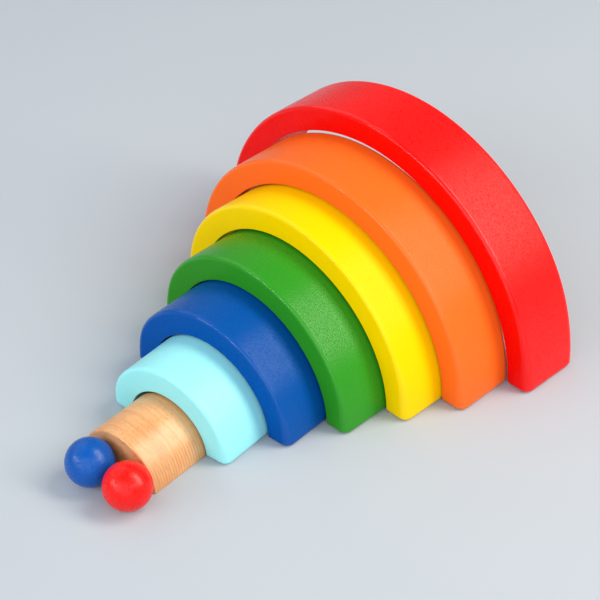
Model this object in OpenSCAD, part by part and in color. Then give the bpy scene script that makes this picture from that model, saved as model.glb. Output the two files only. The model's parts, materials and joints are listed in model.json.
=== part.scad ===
// Rainbow stacker: six half-ring arches that nest in one another, a solid half-round block and two balls.
// Millimetres, +Z up, feet on z = 0. The faces of the arches look along Y, the row runs out towards -Y.

/* [Rings] */
// Radius of the solid block, the innermost piece
block_radius = 29.2; // [20:0.1:40]
// Radial thickness of every arch
wall = 16.3; // [13:0.1:20]
// Radial play between an arch and the piece that nests inside it
play = 1.4; // [0.8:0.1:3]
// Depth of every arch and of the block
depth = 44; // [36:1:60]
// Radius of the long edges on the outside of an arch
outer_edge = 2.5; // [1:0.5:6]
// Radius of the long edges on the inside of an arch
inner_edge = 0.5; // [0.5:0.1:6]
// Radius of the round edges of the block
block_edge = 1.2; // [0.5:0.1:6]

/* [Row as it stands] */
// Length of the orange arch that still stands inside the red one
orange_hold = 2.3; // [1:0.1:30]
// Length of the yellow arch that still stands inside the orange one
yellow_hold = 14.4; // [1:0.1:30]
// Length of the green arch that still stands inside the yellow one
green_hold = 9.2; // [1:0.1:30]
// Length of the blue arch that still stands inside the green one
blue_hold = 7.8; // [1:0.1:30]
// Length of the aqua arch that still stands inside the blue one
aqua_hold = 6.9; // [1:0.1:30]
// Length of the block that still stands inside the aqua arch
block_hold = 2.1; // [1:0.1:30]
// Share of the play that the orange arch takes up by standing turned in the red one
orange_slack = 0.2; // [0:0.01:0.9]
// Share of the play that the yellow arch takes up by standing turned back in the orange one
yellow_slack = 0.2; // [0:0.01:0.9]
// Share of the play that the green arch takes up by standing turned in the yellow one
green_slack = 0.17; // [0:0.01:0.9]
// Share of the play that the blue arch takes up by standing turned in the green one
blue_slack = 0.86; // [0:0.01:0.9]
// Share of the play that the aqua arch takes up by standing turned in the blue one
aqua_slack = 0.5; // [0:0.01:0.9]
// Share of the play that the block takes up by standing turned back in the aqua arch
block_slack = 0.28; // [0:0.01:0.9]

/* [Balls] */
// Diameter of both balls
ball_diameter = 30; // [24:0.5:40]
// Space between the block and the balls
ball_gap = 0.4; // [0.4:0.1:5]
// Space between the two balls
pair_gap = 1; // [0.4:0.1:5]
// How far the middle of the pair stands to the right of the block's middle
ball_shift = 7.6; // [-20:0.1:20]

/* [Hidden] */
NODES = [
    "arch_red", "arch_orange", "arch_yellow", "arch_green", "arch_blue", "arch_aqua",
    "half_round_block", "ball_blue", "ball_red"
];
$fn = 96;

// The pieces of the nest stand first in the list of nodes, from the outside in
function level_of(name) = search([name], NODES)[0];
core = level_of("half_round_block");

// Radius grows by one wall and one play from each level to the next
pitch = wall + play;
ball_radius = ball_diameter / 2;

// Half the length of the straight stretch across the outside of a piece, which a turn swings sideways
half_land = depth / 2 - outer_edge;
function turn_for(slack) = asin(slack * play / half_land);

holds = [0, orange_hold, yellow_hold, green_hold, blue_hold, aqua_hold, block_hold];
turns = [
    0, turn_for(orange_slack), -turn_for(yellow_slack), turn_for(green_slack), turn_for(blue_slack),
    turn_for(aqua_slack), -turn_for(block_slack)
];

function outer_radius(level) = block_radius + (core - level) * pitch;

// Each piece's middle lies on the depth axis of the piece around it, pulled out until only its hold is left
function heading(level) = level == 0 ? 0 : heading(level - 1) + turns[level];
function ahead(level) = [sin(heading(level)), -cos(heading(level))];
function aside(level) = [cos(heading(level)), sin(heading(level))];
function middle(level) =
    level == 0 ? [0, 0] : middle(level - 1) + (depth - holds[level]) * ahead(level - 1);

// The balls stand side by side against the front of the block, the blue one on the left
function ball_middle(side) =
    middle(core)
    + (depth / 2 + ball_gap + ball_radius) * ahead(core)
    + (ball_shift + side * (ball_radius + pair_gap / 2)) * aside(core);

// The origin is on the floor, half way along the row
row_back = depth / 2;
row_front = min(ball_middle(-1)[1], ball_middle(1)[1]) - ball_radius;
row_middle = (row_back + row_front) / 2;

// Rectangle from the axis side to the outside, with its own corner radius on each side
module cross_section(inner, outer) {
    union() {
        translate([inner, inner_edge])
            square([inner_edge, depth - 2 * inner_edge]);
        translate([inner + inner_edge, 0])
            square([outer - inner - inner_edge - outer_edge, depth]);
        translate([outer - outer_edge, outer_edge])
            square([outer_edge, depth - 2 * outer_edge]);
        for (y = [inner_edge, depth - inner_edge])
            translate([inner + inner_edge, y])
                circle(r = inner_edge);
        for (y = [outer_edge, depth - outer_edge])
            translate([outer - outer_edge, y])
                circle(r = outer_edge);
    }
}

// The same outline for a piece that is solid down to its axis
module solid_section(outer) {
    union() {
        square([outer - block_edge, depth]);
        translate([outer - block_edge, block_edge])
            square([block_edge, depth - 2 * block_edge]);
        for (y = [block_edge, depth - block_edge])
            translate([outer - block_edge, y])
                circle(r = block_edge);
    }
}

// Sweeps an outline over the half circle above the floor, with its depth centred on y = 0
module half_turn() {
    translate([0, depth / 2, 0])
        rotate([90, 0, 0])
            rotate_extrude(angle = 180)
                children();
}

// Stands a piece of the nest in its place in the row
module in_row(level) {
    spot = middle(level);
    translate([spot[0], spot[1] - row_middle, 0])
        rotate([0, 0, heading(level)])
            children();
}

module arch(name) {
    level = level_of(name);
    outer = outer_radius(level);
    in_row(level)
        half_turn()
            cross_section(outer - wall, outer);
}

module ball(side) {
    spot = ball_middle(side);
    translate([spot[0], spot[1] - row_middle, ball_radius])
        sphere(r = ball_radius);
}

module arch_red() {
    color("#f21a12")
        arch("arch_red");
}

module arch_orange() {
    color("#fa7226")
        arch("arch_orange");
}

module arch_yellow() {
    color("#fbe21c")
        arch("arch_yellow");
}

module arch_green() {
    color("#2f9c3c")
        arch("arch_green");
}

module arch_blue() {
    color("#155bb4")
        arch("arch_blue");
}

module arch_aqua() {
    color("#a5f0f6")
        arch("arch_aqua");
}

module half_round_block() {
    color("#e6bf8c")
        in_row(core)
            half_turn()
                solid_section(outer_radius(core));
}

module ball_blue() {
    color("#166dcc")
        ball(-1);
}

module ball_red() {
    color("#ee2f22")
        ball(1);
}

arch_red();
arch_orange();
arch_yellow();
arch_green();
arch_blue();
arch_aqua();
half_round_block();
ball_blue();
ball_red();
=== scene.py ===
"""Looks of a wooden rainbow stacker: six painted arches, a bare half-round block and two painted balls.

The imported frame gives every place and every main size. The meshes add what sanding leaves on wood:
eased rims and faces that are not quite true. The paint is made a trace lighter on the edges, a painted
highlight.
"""

import json
import logging
import math
from dataclasses import dataclass, field
from enum import Enum

import bpy
import numpy as np
from mathutils import Matrix, Quaternion, Vector


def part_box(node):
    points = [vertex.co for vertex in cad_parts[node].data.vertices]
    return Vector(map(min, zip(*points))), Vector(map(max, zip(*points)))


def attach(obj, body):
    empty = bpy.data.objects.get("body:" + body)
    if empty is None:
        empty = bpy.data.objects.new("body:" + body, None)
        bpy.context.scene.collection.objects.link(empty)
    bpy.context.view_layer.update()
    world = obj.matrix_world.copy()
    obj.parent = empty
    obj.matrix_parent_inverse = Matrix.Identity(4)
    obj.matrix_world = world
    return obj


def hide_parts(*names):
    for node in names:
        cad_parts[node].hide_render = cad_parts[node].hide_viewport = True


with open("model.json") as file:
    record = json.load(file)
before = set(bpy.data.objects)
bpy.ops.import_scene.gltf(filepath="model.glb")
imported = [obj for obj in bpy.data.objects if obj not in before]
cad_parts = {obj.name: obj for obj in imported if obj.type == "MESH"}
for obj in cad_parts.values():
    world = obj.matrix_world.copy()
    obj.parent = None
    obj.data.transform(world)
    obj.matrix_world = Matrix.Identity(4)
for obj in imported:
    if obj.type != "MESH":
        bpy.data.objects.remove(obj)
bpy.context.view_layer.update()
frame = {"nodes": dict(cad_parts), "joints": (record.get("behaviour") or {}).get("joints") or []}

log = logging.getLogger("rainbow_stacker")

Colour = tuple[float, float, float, float]
Socket = bpy.types.NodeSocket

MM = 0.001

# Radii that the sander leaves on the long edges, the same as in the part's source
OUTER_EDGE = 2.5 * MM
INNER_EDGE = 0.5 * MM
BLOCK_EDGE = 1.2 * MM
# Smallest radius of a corner where a section is drawn in
LEAST_EDGE = 0.05 * MM
# The feet of the arches are sanded rounder: under the foot, on its upright edges, and up to this angle
FOOT_RIM = 3.2 * MM
FOOT_EDGE = 5.5 * MM
FOOT_ANGLE = math.radians(32)
BLOCK_RIM = 0.8 * MM
# A ring of points this far inside each flat end keeps the shading of the end flat
FOOT_END = 0.3 * MM
BLOCK_END = 0.4 * MM
# How far hand sanding leaves a face from true, and the height over the floor where it does so in full
SANDING = 0.10 * MM
SANDING_HEIGHT = 8.0 * MM

# Sockets of the Mix node for colours: it has others of the same names for other kinds of value
MIX_LOW, MIX_HIGH, MIX_RESULT = 6, 7, 2


def linear(hex_colour: str) -> Colour:
    """Turns an sRGB hex colour into linear red, green, blue and alpha.

    Args:
        hex_colour: Colour such as "#e62a1d".

    Returns:
        The four linear values, alpha 1.
    """
    srgb = np.array([int(hex_colour[i:i + 2], 16) for i in (1, 3, 5)]) / 255
    lin = np.where(srgb <= 0.04045, srgb / 12.92, ((srgb + 0.055) / 1.055) ** 2.4)
    return (*lin.tolist(), 1.0)


def toned(colour: Colour, factor: float) -> Colour:
    """A linear colour made darker or lighter by a factor, but no channel above 1."""
    return (*(min(1.0, factor * channel) for channel in colour[:3]), 1.0)


def add_node(
    tree: bpy.types.NodeTree, kind: str, inputs: dict[str | int, object] | None = None, **settings: object,
) -> bpy.types.Node:
    """Adds one node with its settings, and sets or links its inputs.

    Args:
        tree: Node tree of the material or the world.
        kind: Type name of the node.
        inputs: Input name or number, with a plain value or the output socket that feeds it.
        settings: Attributes of the node.

    Returns:
        The new node.
    """
    node = tree.nodes.new(kind)
    for name, value in settings.items():
        setattr(node, name, value)
    for key, value in (inputs or {}).items():
        if isinstance(value, Socket):
            tree.links.new(value, node.inputs[key])
        else:
            node.inputs[key].default_value = value
    return node


def worked(tree: bpy.types.NodeTree, operation: str, *values: Socket | float) -> Socket:
    """Result of a Math node over one, two or three values or sockets."""
    return add_node(tree, "ShaderNodeMath", dict(enumerate(values)), operation=operation).outputs[0]


def ranged(
    tree: bpy.types.NodeTree, value: Socket, low: float, high: float,
    start: Socket | float = 0.0, end: float = 1.0,
) -> Socket:
    """Maps a value from one range to another, and holds it at the ends.

    Args:
        tree: Node tree of the material.
        value: The value.
        low: Where the value gives the start.
        high: Where the value gives the end.
        start: Result at low.
        end: Result at high.

    Returns:
        The mapped value.
    """
    inputs = {"Value": value, "From Min": low, "From Max": high, "To Min": start, "To Max": end}
    return add_node(tree, "ShaderNodeMapRange", inputs).outputs["Result"]


def noise(
    tree: bpy.types.NodeTree, place: Socket, size: float, detail: float, roughness: float = 0.5,
    output: str = "Fac",
) -> Socket:
    """Adds a noise texture.

    Args:
        tree: Node tree of the material.
        place: Coordinates.
        size: Size of the largest forms in metres.
        detail: Number of finer layers.
        roughness: Share of each finer layer.
        output: "Fac" for a value, "Color" for three.

    Returns:
        The noise.
    """
    inputs = {"Vector": place, "Scale": 1 / size, "Detail": detail, "Roughness": roughness}
    return add_node(tree, "ShaderNodeTexNoise", inputs).outputs[output]


def blend(tree: bpy.types.NodeTree, share: Socket, low: Socket | Colour, high: Colour) -> Socket:
    """Mixes two colours.

    Args:
        tree: Node tree of the material.
        share: Share of the second colour.
        low: The first colour.
        high: The second colour.

    Returns:
        The mixed colour.
    """
    inputs = {"Factor": share, MIX_LOW: low, MIX_HIGH: high}
    return add_node(tree, "ShaderNodeMix", inputs, data_type="RGBA").outputs[MIX_RESULT]


def stretched(tree: bpy.types.NodeTree, place: Socket, scale: tuple[float, float, float]) -> Socket:
    """Coordinates scaled along each axis: a small scale draws out a texture on them."""
    return add_node(tree, "ShaderNodeMapping", {"Vector": place, "Scale": scale}).outputs["Vector"]


def new_material(name: str) -> tuple[bpy.types.Material, bpy.types.NodeTree]:
    """Makes an empty node material.

    Args:
        name: Name of the finish.

    Returns:
        The material and its node tree.
    """
    material = bpy.data.materials.new(name)
    material.use_nodes = True
    material.node_tree.nodes.clear()
    return material, material.node_tree


def own_place(tree: bpy.types.NodeTree, heading: float, spot: np.ndarray) -> Socket:
    """Object coordinates, centred on a piece's spot on the floor and turned back by its heading.

    Args:
        tree: Node tree of the material.
        heading: Turn of the piece about the upright axis, in radians.
        spot: Place of the piece on the floor.

    Returns:
        The socket that carries the coordinates, x across the piece, y along its depth.
    """
    c, s = math.cos(heading), math.sin(heading)
    shift = (-c * spot[0] - s * spot[1], s * spot[0] - c * spot[1], 0.0)
    place = add_node(tree, "ShaderNodeTexCoord").outputs["Object"]
    return add_node(
        tree, "ShaderNodeMapping", {"Vector": place, "Rotation": (0, 0, -heading), "Location": shift},
    ).outputs["Vector"]


def even_out(count: int) -> np.ndarray:
    """Places from 0 to 1, close together at both ends, (1 - cos) / 2 of an even spread over half a turn."""
    return (1 - np.cos(np.linspace(0, np.pi, count))) / 2


def slow_waves(points: np.ndarray, phase: float) -> np.ndarray:
    """Shifts points as uneven sanding does, by three slow crossing sine waves, one for each axis.

    Each wave is SANDING times the sine of a slanted distance over a wavelength of 60 to 110 mm. The shift
    fades out towards the floor, so that feet stand flat.

    Args:
        points: Array whose last axis is x, y, z.
        phase: Start of the waves, different for each piece.

    Returns:
        The shifted points.
    """
    slants = np.array([[0.3, 0.5, 0.8], [0.7, -0.4, 0.6], [-0.6, 0.6, 0.5]])
    lengths = np.array([62.0, 85.0, 108.0]) * MM
    starts = phase * np.array([1.0, 2.3, 3.7])
    waves = np.sin(points @ slants.T * (2 * np.pi / lengths) + starts)
    fade = np.clip(points[..., 2:3] / SANDING_HEIGHT, 0, 1)
    return points + SANDING * fade * waves


def stand(points: np.ndarray, spot: np.ndarray, heading: float) -> np.ndarray:
    """Turns points by the heading about the upright axis, then moves them to their spot on the floor.

    Args:
        points: Array whose last axis is x, y, z, in the piece's own frame.
        spot: Place of the piece's axis on the floor.
        heading: Turn in radians.

    Returns:
        The points in the row frame.
    """
    c, s = math.cos(heading), math.sin(heading)
    turn = np.array([[c, -s, 0.0], [s, c, 0.0], [0.0, 0.0, 1.0]])
    return points @ turn.T + np.array([*spot, 0.0])


def tube_faces(rings: int, around: int) -> list[list[int]]:
    """Quads between neighbouring rings of a closed profile, and one flat face over each end.

    Args:
        rings: Number of rings along the path.
        around: Number of points round the profile.

    Returns:
        Faces as lists of vertex numbers, all facing outwards.
    """
    number = np.arange(rings * around).reshape(rings, around)
    ahead = np.roll(number, -1, axis=1)
    quads = np.stack([number[:-1], ahead[:-1], ahead[1:], number[1:]], axis=-1).reshape(-1, 4)
    return quads.tolist() + [number[0, ::-1].tolist(), number[-1].tolist()]


def new_piece(
    name: str, points: np.ndarray, faces: list[list[int]], marks: dict[str, np.ndarray],
) -> bpy.types.Object:
    """Puts an array of points and its faces into a smooth mesh object at the origin.

    Args:
        name: Name of the piece.
        points: One row of x, y, z for each vertex, in the row frame.
        faces: Vertex numbers of each face.
        marks: Values from 0 to 1 at the vertices by name: "rim" for the rounded edges, "flat" for the
            front, the back and the bore of an arch.

    Returns:
        The linked object.
    """
    mesh = bpy.data.meshes.new(name)
    mesh.from_pydata(points.tolist(), [], faces)
    mesh.polygons.foreach_set("use_smooth", np.ones(len(mesh.polygons), dtype=bool))
    for mark, values in marks.items():
        data = mesh.attributes.new(mark, "FLOAT", "POINT").data
        data.foreach_set("value", values.astype(np.float32).ravel())
    mesh.update()
    piece = bpy.data.objects.new(name, mesh)
    bpy.context.scene.collection.objects.link(piece)
    return piece


class Paint(Enum):
    """Colours of the painted pieces, as they look under plain light."""

    RED = "#f00602"
    ORANGE = "#f96d20"
    YELLOW = "#ffd400"
    GREEN = "#2c921d"
    BLUE = "#0050a3"
    AQUA = "#9beef4"
    BALL_BLUE = "#0054ae"
    BALL_RED = "#f3120a"


@dataclass(frozen=True)
class SatinPaint:
    """Water-based satin paint, sprayed thin on sanded beech.

    It gives the eye one strong even colour with a broad soft sheen. In the sheen the pores of the wood show
    as fine short streaks, because the coat sinks a little into each of them, and the colour is made darker
    in them, a painted shade. On the edges the colour is made a trace lighter, a painted highlight.
    """

    paint: Paint
    gloss: float
    roughness: float = 0.29
    # Roughness that the coat gains in the pores and loses between them
    pore_roughness: float = 0.10
    ridge_smoothness: float = 0.05
    # Real pores are about 0.1 mm wide: they are drawn wider, so that the render can show them
    pore_width: float = 0.7 * MM
    pore_length: float = 1.7 * MM
    pore_depth: float = 0.18 * MM
    # Noise values where a pore begins and where it is fully sunk
    pore_start: float = 0.46
    pore_full: float = 0.36
    # Tone of the colour in a pore, a painted shade, how much of that shade shows, and the share of the shine
    # that is lost there
    pore_shade_tone: float = 0.80
    pore_shade_share: float = 0.15
    pore_dullness: float = 0.95
    # Size of the clouds where the coat lies thicker, and their tone
    cloud_size: float = 24.0 * MM
    cloud_tone: float = 0.94
    # Share of the shine and of the pores on the front, the back and in the bore, which are coated thinner
    face_share: float = 0.3
    # Edges are rubbed smoother by hand than the faces and get more shine; their colour is a trace lighter, a
    # painted highlight
    edge_roughness: float = 0.09
    edge_highlight_tone: float = 1.08
    edge_highlight_share: float = 0.5
    edge_shine: float = 0.2
    # Strength of the pores' relief on the faces and on the edges
    relief: float = 0.65
    edge_relief: float = 0.03

    def material(self, heading: float, spot: np.ndarray) -> bpy.types.Material:
        """Builds the finish for a piece that stands turned by a heading.

        Args:
            heading: Turn of the piece about the upright axis, in radians.
            spot: Place of the piece on the floor.

        Returns:
            The material.
        """
        material, tree = new_material(f"satin_paint_{self.paint.name.lower()}_on_beech")
        place = own_place(tree, heading, spot)
        grain = stretched(tree, place, (self.pore_width / self.pore_length, 1, 1))
        pores = noise(tree, grain, self.pore_width, 2.0, 0.6)
        sunk = ranged(tree, pores, self.pore_start, self.pore_full)
        clouds = noise(tree, place, self.cloud_size, 3.0, 0.55)
        rim = add_node(tree, "ShaderNodeAttribute", attribute_name="rim").outputs["Fac"]
        flat = add_node(tree, "ShaderNodeAttribute", attribute_name="flat").outputs["Fac"]
        kept = ranged(tree, flat, 0.0, 1.0, 1.0, self.face_share)

        full = linear(self.paint.value)
        cloudy = blend(tree, clouds, toned(full, self.cloud_tone), full)
        # Painted shade: the colour is made darker in the sunk pores
        pore_shade_amount = worked(tree, "MULTIPLY", sunk, self.pore_shade_share)
        pore_shaded = blend(tree, pore_shade_amount, cloudy, toned(full, self.pore_shade_tone))
        # Painted highlight: the colour is made a trace lighter on the rounded edges
        edge_highlight = worked(tree, "MULTIPLY", rim, self.edge_highlight_share)
        edge_highlighted = blend(tree, edge_highlight, pore_shaded, toned(full, self.edge_highlight_tone))

        dull, bright = self.roughness + self.pore_roughness, self.roughness - self.ridge_smoothness
        grainy = ranged(tree, pores, 0.3, 0.7, dull, bright)
        rough = ranged(tree, rim, 0.0, 1.0, grainy, self.edge_roughness)
        pore_gloss = worked(tree, "MULTIPLY_ADD", sunk, -self.pore_dullness * self.gloss, self.gloss)
        face_gloss = worked(tree, "MULTIPLY", pore_gloss, kept)
        shine = worked(tree, "MULTIPLY_ADD", rim, self.edge_shine, face_gloss)
        calm = ranged(tree, rim, 0.0, 1.0, self.relief, self.edge_relief)
        strength = worked(tree, "MULTIPLY", calm, kept)
        bump = add_node(
            tree, "ShaderNodeBump", {"Height": pores, "Strength": strength, "Distance": self.pore_depth},
        ).outputs["Normal"]
        shader = add_node(
            tree, "ShaderNodeBsdfPrincipled",
            {"Base Color": edge_highlighted, "Roughness": rough, "Normal": bump, "IOR": 1.5,
             "Specular IOR Level": shine},
        )
        add_node(tree, "ShaderNodeOutputMaterial", {"Surface": shader.outputs["BSDF"]})
        return material


@dataclass(frozen=True)
class BareBeech:
    """Steamed beech, sawn and sanded and left bare.

    It gives the eye a warm pale body with narrow wandering growth lines round the half round, fine fibres
    between them, the short brown dashes of the wood's rays, and faint upright saw marks low on both sides.
    """

    name: str
    pale: str = "#e8ae74"
    warm: str = "#e19c60"
    line: str = "#ca864f"
    fleck: str = "#a86a38"
    cloud_size: float = 11.0 * MM
    # How far the growth lines wander, and over what distance
    wander: float = 6.0 * MM
    wander_size: float = 24.0 * MM
    # Lines and fibres are this many times longer round the piece than they are wide
    line_stretch: float = 20.0
    line_spacing: float = 1.9 * MM
    fibre_spacing: float = 0.6 * MM
    fleck_width: float = 0.6 * MM
    fleck_length: float = 3.2 * MM
    # Saw marks begin this far across to the side and are full this far, and are deeper than the fibres
    saw_from: float = 17.0 * MM
    saw_to: float = 27.0 * MM
    saw_spacing: float = 2.1 * MM
    saw_depth: float = 1.5
    roughness: float = 0.36
    fibre_smoothness: float = 0.06
    fibre_roughness: float = 0.10
    shine: float = 0.75
    relief: float = 0.4
    relief_depth: float = 0.08 * MM

    def material(self, heading: float, spot: np.ndarray) -> bpy.types.Material:
        """Builds the finish for a piece that stands turned by a heading.

        Args:
            heading: Turn of the piece about the upright axis, in radians.
            spot: Place of the piece on the floor.

        Returns:
            The material.
        """
        material, tree = new_material(self.name)
        own = own_place(tree, heading, spot)
        drift = noise(tree, own, self.wander_size, 2.0, output="Color")
        bent = add_node(
            tree, "ShaderNodeVectorMath", {0: drift, 1: (0.0, self.wander, 0.0), 2: own},
            operation="MULTIPLY_ADD",
        ).outputs[0]
        drawn_out = stretched(tree, bent, (1 / self.line_stretch, 1, 1 / self.line_stretch))
        lines = noise(tree, drawn_out, self.line_spacing, 1.0)
        fibres = noise(tree, drawn_out, self.fibre_spacing, 2.0, 0.7)
        short = self.fleck_width / self.fleck_length
        rays = noise(tree, stretched(tree, bent, (short, 1, short)), self.fleck_width, 0.0)
        clouds = noise(tree, bent, self.cloud_size, 2.0)
        across = add_node(tree, "ShaderNodeSeparateXYZ", {"Vector": own}).outputs["X"]
        side = ranged(tree, worked(tree, "ABSOLUTE", across), self.saw_from, self.saw_to)
        # The node's sine runs at 20 times the scaled place
        wave_scale = 2 * math.pi / (20 * self.saw_spacing)
        marks = add_node(
            tree, "ShaderNodeTexWave",
            {"Vector": own, "Scale": wave_scale, "Distortion": 0.6, "Detail": 1.0, "Detail Scale": 2.0},
            wave_type="BANDS", bands_direction="Y",
        ).outputs["Fac"]
        sawn = worked(tree, "MULTIPLY", marks, side)

        colour = linear(self.pale)
        # Each mark with the values where it begins and is full, its share there, and its colour
        for mark, begin, full, share, tint in (
            (clouds, 0.40, 0.66, 0.80, self.warm),
            (lines, 0.48, 0.70, 0.40, self.line),
            (fibres, 0.48, 0.75, 0.36, self.line),
            (rays, 0.64, 0.76, 0.38, self.fleck),
            (sawn, 0.45, 1.00, 0.75, self.line),
        ):
            amount = ranged(tree, mark, begin, full, 0.0, share)
            colour = blend(tree, amount, colour, linear(tint))
        smooth, dull = self.roughness - self.fibre_smoothness, self.roughness + self.fibre_roughness
        rough = ranged(tree, fibres, 0.0, 1.0, smooth, dull)
        height = worked(tree, "MULTIPLY_ADD", sawn, -self.saw_depth, fibres)
        bump = add_node(
            tree, "ShaderNodeBump",
            {"Height": height, "Strength": self.relief, "Distance": self.relief_depth},
        ).outputs["Normal"]
        shader = add_node(
            tree, "ShaderNodeBsdfPrincipled",
            {"Base Color": colour, "Roughness": rough, "Normal": bump, "IOR": 1.5,
             "Specular IOR Level": self.shine},
        )
        add_node(tree, "ShaderNodeOutputMaterial", {"Surface": shader.outputs["BSDF"]})
        return material


def piece_heading(node: str) -> float:
    """Heading of a piece of the nest, read from the slide that runs along its depth.

    Args:
        node: Node of an arch, or of the block that the balls roll away from along its depth.

    Returns:
        Turn about the upright axis in radians.
    """
    axes = {joint["child"]: joint["axis"] for joint in frame["joints"]}
    axis = axes.get(node, axes["ball_blue"])
    return math.atan2(axis[0], -axis[1])


def node_points(node: str) -> np.ndarray:
    """Vertices of a CAD node, one row each, in the row frame.

    Args:
        node: Name of the node.

    Returns:
        The array of x, y, z.
    """
    vertices = frame["nodes"][node].data.vertices
    flat = np.empty(len(vertices) * 3)
    vertices.foreach_get("co", flat)
    return flat.reshape(-1, 3)


@dataclass
class Piece:
    """A piece of the set, with its place read from the frame."""

    node: str
    slot: str
    finish: SatinPaint | BareBeech
    heading: float
    low: np.ndarray = field(init=False)
    high: np.ndarray = field(init=False)
    spot: np.ndarray = field(init=False)

    def __post_init__(self) -> None:
        """Reads the CAD node's box, and the spot on the floor under its middle."""
        self.low, self.high = (np.array(corner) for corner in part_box(self.node))
        self.spot = (self.low[:2] + self.high[:2]) / 2

    def dress(self, piece: bpy.types.Object) -> bpy.types.Object:
        """Gives the piece its finish, and its place in the frame instead of the CAD node.

        Args:
            piece: The built object.

        Returns:
            The same object.
        """
        piece.data.materials.append(self.finish.material(self.heading, self.spot))
        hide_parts(self.node)
        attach(piece, self.node)
        return piece


@dataclass
class NestPiece(Piece):
    """A half-round piece of the nest, about an axis that lies on the floor along its depth."""

    depth: float

    @property
    def radius(self) -> float:
        """Outer radius, the height of the CAD node."""
        return float(self.high[2])


@dataclass
class Arch(NestPiece):
    """One painted half ring with rounded long edges and eased feet."""

    edge_steps: int = 10
    face_steps: int = 14
    rim_steps: int = 8
    sweep_steps: int = 150

    def bore(self) -> float:
        """Inner radius: the smallest distance of the CAD node's points from the piece's axis.

        Returns:
            The radius.
        """
        points = node_points(self.node) - np.array([*self.spot, 0.0])
        across = points[:, 0] * math.cos(self.heading) + points[:, 1] * math.sin(self.heading)
        return float(np.hypot(across, points[:, 2]).min())

    def section(self, inset: np.ndarray, edge: np.ndarray) -> tuple[np.ndarray, np.ndarray, np.ndarray]:
        """Rounded rectangle of the arch's cut, drawn in by an inset at each station.

        Each corner is a quarter circle about its own centre, and the straight stretches between them follow
        from the corners' ends, with points close together near the corners. Drawing in makes the
        rectangle smaller and the quarter circles tighter.

        Args:
            inset: How far each station is drawn in.
            edge: Radius of the outer corners at each station.

        Returns:
            Radius from the axis, depth, and the share of rounded edge, each station by profile point.
        """
        half = self.depth / 2
        outer, inner = self.radius, self.bore()
        corners = (
            (outer, half, edge[:, None], 0.0),
            (inner, half, INNER_EDGE, 0.5 * np.pi),
            (inner, -half, INNER_EDGE, np.pi),
            (outer, -half, edge[:, None], 1.5 * np.pi),
        )
        shrink = inset[:, None]
        arcs = []
        for radius, face, corner, start in corners:
            angle = start + np.linspace(0, 0.5 * np.pi, self.edge_steps + 1)[None, :]
            reach = np.maximum(corner - shrink, LEAST_EDGE)
            side = np.sign(radius - (outer + inner) / 2)
            centre_r = radius - side * (shrink + reach)
            centre_d = face - np.sign(face) * (shrink + reach)
            arcs.append((centre_r + reach * np.cos(angle), centre_d + reach * np.sin(angle)))
        radii, depths, rims = [], [], []
        stretch = even_out(self.face_steps + 1)[None, 1:-1]
        bell = np.sin(np.linspace(0, np.pi, self.edge_steps + 1))[None, :] + 0 * shrink
        for here, after in zip(arcs, arcs[1:] + arcs[:1]):
            radii += [here[0], here[0][:, -1:] + stretch * (after[0][:, :1] - here[0][:, -1:])]
            depths += [here[1], here[1][:, -1:] + stretch * (after[1][:, :1] - here[1][:, -1:])]
            rims += [bell, 0 * stretch + 0 * shrink]
        return np.hstack(radii), np.hstack(depths), np.hstack(rims)

    def build(self, phase: float) -> bpy.types.Object:
        """Carries the section over the half circle, with eased rims where the feet meet the floor.

        A point at angle t of the sweep is at (r cos t, depth, r sin t). At each foot the first stations rise
        by the quarter circle of the rim while the section is drawn in by it, and the outer corners open from
        the foot's radius to the edge's by a half cosine over the foot angle.

        Args:
            phase: Start of the sanding waves.

        Returns:
            The mesh object.
        """
        turn = np.linspace(0, 0.5 * np.pi, self.rim_steps + 1)
        rise = np.concatenate([[0.0], FOOT_RIM * (1 - np.cos(turn))])
        draw = np.concatenate([[FOOT_RIM + FOOT_END], FOOT_RIM * (1 - np.sin(turn))])
        middle = (self.radius + self.bore()) / 2
        lead = np.arcsin(rise / middle)
        sweep = np.linspace(lead[-1], np.pi - lead[-1], self.sweep_steps + 1)[1:-1]
        angle = np.concatenate([lead, sweep, np.pi - lead[::-1]])[:, None]
        inset = np.concatenate([draw, np.zeros(len(sweep)), draw[::-1]])
        share = np.clip(np.minimum(angle, np.pi - angle)[:, 0] / FOOT_ANGLE, 0, 1)
        edge = OUTER_EDGE + (FOOT_EDGE - OUTER_EDGE) * (1 + np.cos(np.pi * share)) / 2
        radius, depth, rim = self.section(inset, edge)
        points = np.stack([radius * np.cos(angle), depth, radius * np.sin(angle)], axis=-1)
        points = stand(slow_waves(points, phase), self.spot, self.heading)
        flat = np.clip(1 - (self.depth / 2 - np.abs(depth)) / OUTER_EDGE, 0, 1) ** 2
        flat = np.where(radius < middle, 1.0, flat)
        name = self.node.replace("arch", "painted_arch")
        faces = tube_faces(*radius.shape)
        return new_piece(name, points.reshape(-1, 3), faces, {"rim": rim, "flat": flat})


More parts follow.
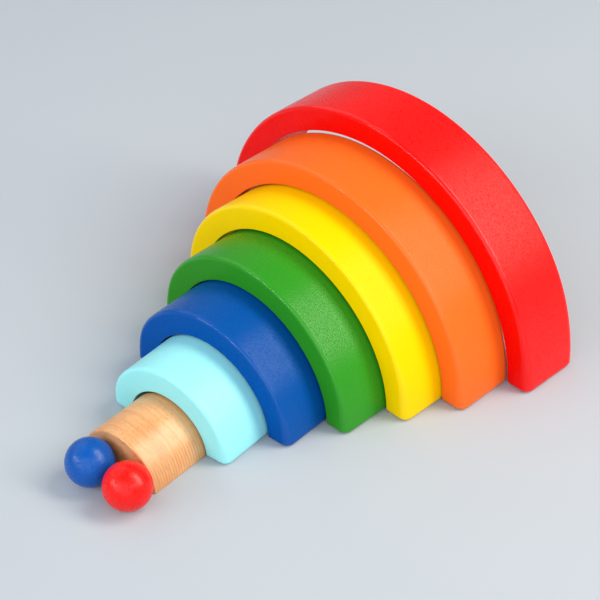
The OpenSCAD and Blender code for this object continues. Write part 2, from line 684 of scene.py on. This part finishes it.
@dataclass
class HalfRound(NestPiece):
    """The solid half round of bare wood at the centre of the nest."""

    edge_steps: int = 12
    face_steps: int = 16
    corner_steps: int = 6
    base_steps: int = 24
    sweep_steps: int = 96

    def build(self, phase: float) -> bpy.types.Object:
        """Carries a D-shaped outline along the depth, smaller towards both faces.

        The outline is an arc about the axis, two small corner arcs where it meets the base, and the base
        line. Within an edge radius of a face the arc is drawn in by a quarter circle, and within a rim
        radius the base is lifted by another.

        Args:
            phase: Start of the sanding waves.

        Returns:
            The mesh object.
        """
        turn = np.linspace(0, 0.5 * np.pi, self.edge_steps + 1)
        near = np.concatenate([[0.0], BLOCK_EDGE * (1 - np.cos(turn))])
        draw = np.concatenate([[BLOCK_EDGE + BLOCK_END], BLOCK_EDGE * (1 - np.sin(turn))])
        left = np.clip(BLOCK_RIM - near, 0, None)
        lift = BLOCK_RIM - np.sqrt(BLOCK_RIM ** 2 - left ** 2)
        lift[0] += BLOCK_END
        across = even_out(self.face_steps + 1)[1:-1]
        span = self.depth - 2 * BLOCK_EDGE
        half = self.depth / 2
        depth = np.concatenate([near - half, BLOCK_EDGE - half + span * across, half - near[::-1]])
        inset = np.concatenate([draw, 0 * across, draw[::-1]])[:, None]
        base = np.concatenate([lift, 0 * across, lift[::-1]])[:, None]

        arc = self.radius - inset
        corner_z = base + BLOCK_RIM
        corner_x = np.sqrt((arc - BLOCK_RIM) ** 2 - corner_z ** 2)
        tilt = np.arctan2(corner_z, corner_x)
        share = np.linspace(0, 1, self.corner_steps + 1)[None, :]
        right = -0.5 * np.pi + share * (tilt + 0.5 * np.pi)
        round_x, round_z = corner_x + BLOCK_RIM * np.cos(right), corner_z + BLOCK_RIM * np.sin(right)
        sweep = tilt + np.linspace(0, 1, self.sweep_steps + 1)[None, 1:-1] * (np.pi - 2 * tilt)
        line = even_out(self.base_steps + 1)[None, 1:-1]
        x = np.hstack([round_x, arc * np.cos(sweep), -round_x[:, ::-1], -corner_x + line * 2 * corner_x])
        z = np.hstack([round_z, arc * np.sin(sweep), round_z[:, ::-1], base + 0 * line])
        y = depth[:, None] + 0 * x
        rim = np.sin(np.pi * (np.clip(inset / BLOCK_EDGE, 0, 1) + 0 * x))
        points = np.stack([x, y, z], axis=-1)[::-1]
        points = stand(slow_waves(points, phase), self.spot, self.heading)
        return new_piece("beech_half_round", points.reshape(-1, 3), tube_faces(*x.shape), {"rim": rim})


@dataclass
class TurnedBall(Piece):
    """A small painted ball, turned on a lathe and sanded by hand."""

    tilt: float
    rings: int = 64
    around: int = 96
    # How far the ends on the lathe's axis are flattened, and over what angle
    flat_depth: float = 0.15 * MM
    flat_angle: float = 0.16

    def build(self, phase: float) -> bpy.types.Object:
        """A sphere about a tilted lathe axis, a trace flatter at its two ends where the turning stops.

        The radius is drawn in at each end by the flat depth times a bell curve of the angle from the axis.
        Each end is a single point.

        Args:
            phase: Start of the sanding waves.

        Returns:
            The mesh object.
        """
        middle, radius = (self.low + self.high) / 2, (self.high - self.low)[2] / 2
        polar = np.linspace(0, np.pi, self.rings + 1)[1:-1, None]
        azimuth = np.linspace(0, 2 * np.pi, self.around, endpoint=False)[None, :]
        near, far = polar / self.flat_angle, (np.pi - polar) / self.flat_angle
        reach = radius - self.flat_depth * (np.exp(-near ** 2) + np.exp(-far ** 2))
        body = np.stack([
            reach * np.sin(polar) * np.cos(azimuth),
            reach * np.sin(polar) * np.sin(azimuth),
            reach * np.cos(polar) + 0 * azimuth,
        ], axis=-1).reshape(-1, 3)
        end = radius - self.flat_depth
        points = np.vstack([[0, 0, end], body, [0, 0, -end]])
        turn = Matrix.Rotation(self.heading, 3, "Z") @ Matrix.Rotation(self.tilt, 3, "X")
        points = slow_waves(points @ np.array(turn).T + middle, phase)
        number = 1 + np.arange((self.rings - 1) * self.around).reshape(self.rings - 1, self.around)
        ahead = np.roll(number, -1, axis=1)
        quads = np.stack([number[:-1], number[1:], ahead[1:], ahead[:-1]], axis=-1).reshape(-1, 4)
        top = np.stack([0 * number[0], number[0], ahead[0]], axis=-1)
        bottom = np.stack([0 * number[-1] + len(points) - 1, ahead[-1], number[-1]], axis=-1)
        faces = quads.tolist() + top.tolist() + bottom.tolist()
        return new_piece(self.node.replace("ball", "painted_ball"), points, faces, {})


@dataclass(frozen=True)
class SoftBox:
    """A rectangular studio lamp that looks at the middle of the row, with lengths in metres."""

    name: str
    towards: tuple[float, float, float]
    distance: float
    size: tuple[float, float]
    watts: float
    colour: str = "#ffffff"
    roll: float = 0.0

    def light(self, middle: Vector) -> bpy.types.Object:
        """Hangs the lamp in its direction from the middle and turns it to face it.

        Args:
            middle: Point that the lamp looks at.

        Returns:
            The lamp.
        """
        data = bpy.data.lights.new(self.name, "AREA")
        data.shape = "RECTANGLE"
        data.size, data.size_y = self.size
        data.energy = self.watts
        data.color = linear(self.colour)[:3]
        lamp = bpy.data.objects.new(self.name, data)
        away = Vector(self.towards).normalized()
        lamp.location = middle + self.distance * away
        turn = away.to_track_quat("Z", "Y") @ Quaternion((0, 0, 1), self.roll)
        lamp.rotation_euler = turn.to_euler()
        bpy.context.scene.collection.objects.link(lamp)
        return lamp


@dataclass
class Studio:
    """Pale floor, soft lamps and the camera."""

    azimuth: float = math.radians(46.771)
    elevation: float = math.radians(39.111)
    roll: float = math.radians(-1.095)
    distance: float = 1.2420
    target: tuple[float, float, float] = (0.00539, 0.03630, 0.04062)
    focal_pixels: float = 2001.8
    image_pixels: float = 600.0
    sensor_mm: float = 36.0
    floor_colour: str = "#b6bfc8"
    floor_half: float = 4.0
    wall_colour: str = "#eef3f8"
    wall_glow: float = 0.36
    lamp_target: tuple[float, float, float] = (0.0, 0.0, 0.05)

    def floor(self) -> bpy.types.Object:
        """A large flat sheet under the feet, a grid of three by three points over its half width.

        Returns:
            The floor object.
        """
        spread = np.linspace(-self.floor_half, self.floor_half, 3)
        x, y = np.meshgrid(spread, spread)
        points = np.stack([x, y, 0 * x], axis=-1).reshape(-1, 3)
        number = np.arange(x.size).reshape(x.shape)
        quads = np.stack([number[:-1, :-1], number[:-1, 1:], number[1:, 1:], number[1:, :-1]], axis=-1)
        sheet = new_piece("studio_floor", points, quads.reshape(-1, 4).tolist(), {})
        # Plain matt paper, which gives the eye an even pale grey with soft shadows and hardly a sheen
        material, tree = new_material("matt_paper_floor")
        shader = add_node(
            tree, "ShaderNodeBsdfPrincipled",
            {"Base Color": linear(self.floor_colour), "Roughness": 0.9, "Specular IOR Level": 0.1},
        )
        add_node(tree, "ShaderNodeOutputMaterial", {"Surface": shader.outputs["BSDF"]})
        sheet.data.materials.append(material)
        return sheet

    def sky(self) -> None:
        """Sets an even pale light from all round, as from the white walls of a studio."""
        world = bpy.data.worlds.new("studio_walls")
        world.use_nodes = True
        tree = world.node_tree
        tree.nodes.clear()
        glow = add_node(
            tree, "ShaderNodeBackground", {"Color": linear(self.wall_colour), "Strength": self.wall_glow},
        )
        add_node(tree, "ShaderNodeOutputWorld", {"Surface": glow.outputs["Background"]})
        bpy.context.scene.world = world

    def lamps(self) -> None:
        """Hangs a long box behind on the right, a key beside it, a low strip on the left and two fills."""
        along_arches = math.radians(-28.6)
        for box in (
            SoftBox("right_soft_box", (0.54, 0.45, 0.70), 1.6, (0.5, 1.6), 24.5, "#fff4e6", along_arches),
            SoftBox("right_key", (0.80, 0.04, 0.60), 2.2, (1.3, 1.1), 6.5),
            SoftBox("left_strip", (-0.33, -0.84, 0.43), 1.6, (1.1, 0.09), 7.5),
            SoftBox("front_fill", (0.44, -0.76, 0.48), 2.4, (3.4, 2.6), 35.0),
            SoftBox("left_fill", (-0.75, -0.05, 0.66), 2.2, (2.4, 2.0), 10.0),
        ):
            box.light(Vector(self.lamp_target))

    def camera(self) -> bpy.types.Object:
        """Places the camera at its angle and distance from the target.

        Returns:
            The camera, set as the scene's.
        """
        data = bpy.data.cameras.new("photo_camera")
        data.sensor_fit = "HORIZONTAL"
        data.sensor_width = self.sensor_mm
        data.lens = self.sensor_mm * self.focal_pixels / self.image_pixels
        data.clip_start, data.clip_end = 0.05, 20.0
        camera = bpy.data.objects.new("photo_camera", data)
        flat = math.cos(self.elevation)
        back = Vector((
            math.sin(self.azimuth) * flat, -math.cos(self.azimuth) * flat, math.sin(self.elevation),
        ))
        right = Vector((math.cos(self.azimuth), math.sin(self.azimuth), 0.0))
        up = back.cross(right)
        c, s = math.cos(self.roll), math.sin(self.roll)
        right, up = c * right + s * up, c * up - s * right
        turn = Matrix((right, up, back)).transposed().to_4x4()
        camera.matrix_world = Matrix.Translation(Vector(self.target) + self.distance * back) @ turn
        bpy.context.scene.collection.objects.link(camera)
        bpy.context.scene.camera = camera
        return camera

    def build(self) -> None:
        """Sets up the floor, the light and the camera."""
        self.floor()
        self.sky()
        self.lamps()
        self.camera()


@dataclass
class RainbowStacker:
    """The whole row: six arches, the half round and two balls."""

    # Node, material slot, paint and gloss
    arches: tuple[tuple[str, str, Paint, float], ...] = (
        ("arch_red", "red_painted_wood", Paint.RED, 0.36),
        ("arch_orange", "orange_painted_wood", Paint.ORANGE, 0.19),
        ("arch_yellow", "yellow_painted_wood", Paint.YELLOW, 0.08),
        ("arch_green", "green_painted_wood", Paint.GREEN, 0.28),
        ("arch_blue", "blue_painted_wood", Paint.BLUE, 0.16),
        ("arch_aqua", "aqua_painted_wood", Paint.AQUA, 0.26),
    )
    # Node, material slot, paint, and the heading and tilt of the lathe's axis
    balls: tuple[tuple[str, str, Paint, float, float], ...] = (
        ("ball_blue", "blue_painted_ball", Paint.BALL_BLUE, 0.4, 1.0),
        ("ball_red", "red_painted_ball", Paint.BALL_RED, 2.2, 1.3),
    )
    ball_gloss: float = 0.36

    def build(self) -> list[bpy.types.Object]:
        """Builds and dresses the pieces from the outside in, then the balls.

        Returns:
            The finished pieces.
        """
        low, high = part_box("arch_red")
        depth = high.y - low.y
        pieces = []
        for level, (node, slot, paint, gloss) in enumerate(self.arches):
            arch = Arch(node, slot, SatinPaint(paint, gloss), piece_heading(node), depth)
            pieces.append(arch.dress(arch.build(1.0 + level)))
        node = "half_round_block"
        block = HalfRound(node, "bare_beech", BareBeech("sanded_bare_beech"), piece_heading(node), depth)
        pieces.append(block.dress(block.build(0.4)))
        for node, slot, paint, heading, tilt in self.balls:
            # The balls are sanded smoother than the arches
            finish = SatinPaint(paint, self.ball_gloss, roughness=0.26, pore_shade_share=0.05)
            ball = TurnedBall(node, slot, finish, heading, tilt)
            pieces.append(ball.dress(ball.build(2.0 + heading)))
        return pieces


def main() -> None:
    """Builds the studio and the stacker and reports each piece."""
    logging.basicConfig(level=logging.INFO, format="%(message)s")
    bpy.context.scene.view_settings.view_transform = "Standard"
    Studio().build()
    for piece in RainbowStacker().build():
        log.info("%s: %d faces", piece.name, len(piece.data.polygons))


if __name__ == "__main__":
    main()
